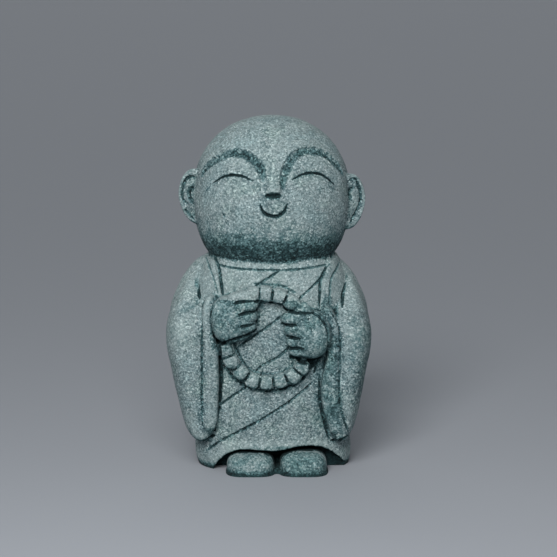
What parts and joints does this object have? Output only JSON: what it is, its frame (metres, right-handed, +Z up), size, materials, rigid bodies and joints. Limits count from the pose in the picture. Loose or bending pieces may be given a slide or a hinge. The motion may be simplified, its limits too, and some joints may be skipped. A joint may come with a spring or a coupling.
{
  "type": "stone jizo statue",
  "caption": "Small standing stone jizo monk with a round smiling head, closed eyes, wide hanging sleeves, both fists on a ring of prayer beads, and feet under an arched hem.",
  "frame": {"origin": "on the floor, under the middle of the statue's bounding box", "axes": "+Z up, the statue faces -Y, +X is on a viewer's right who looks the statue in the face"},
  "size_m": [0.0718, 0.054, 0.1199],
  "materials": {
    "stone": "matte, fine-grained green-grey stone"
  },
  "bodies": {
    "root": {"jizo_statue": "stone"}
  },
  "joints": []
}
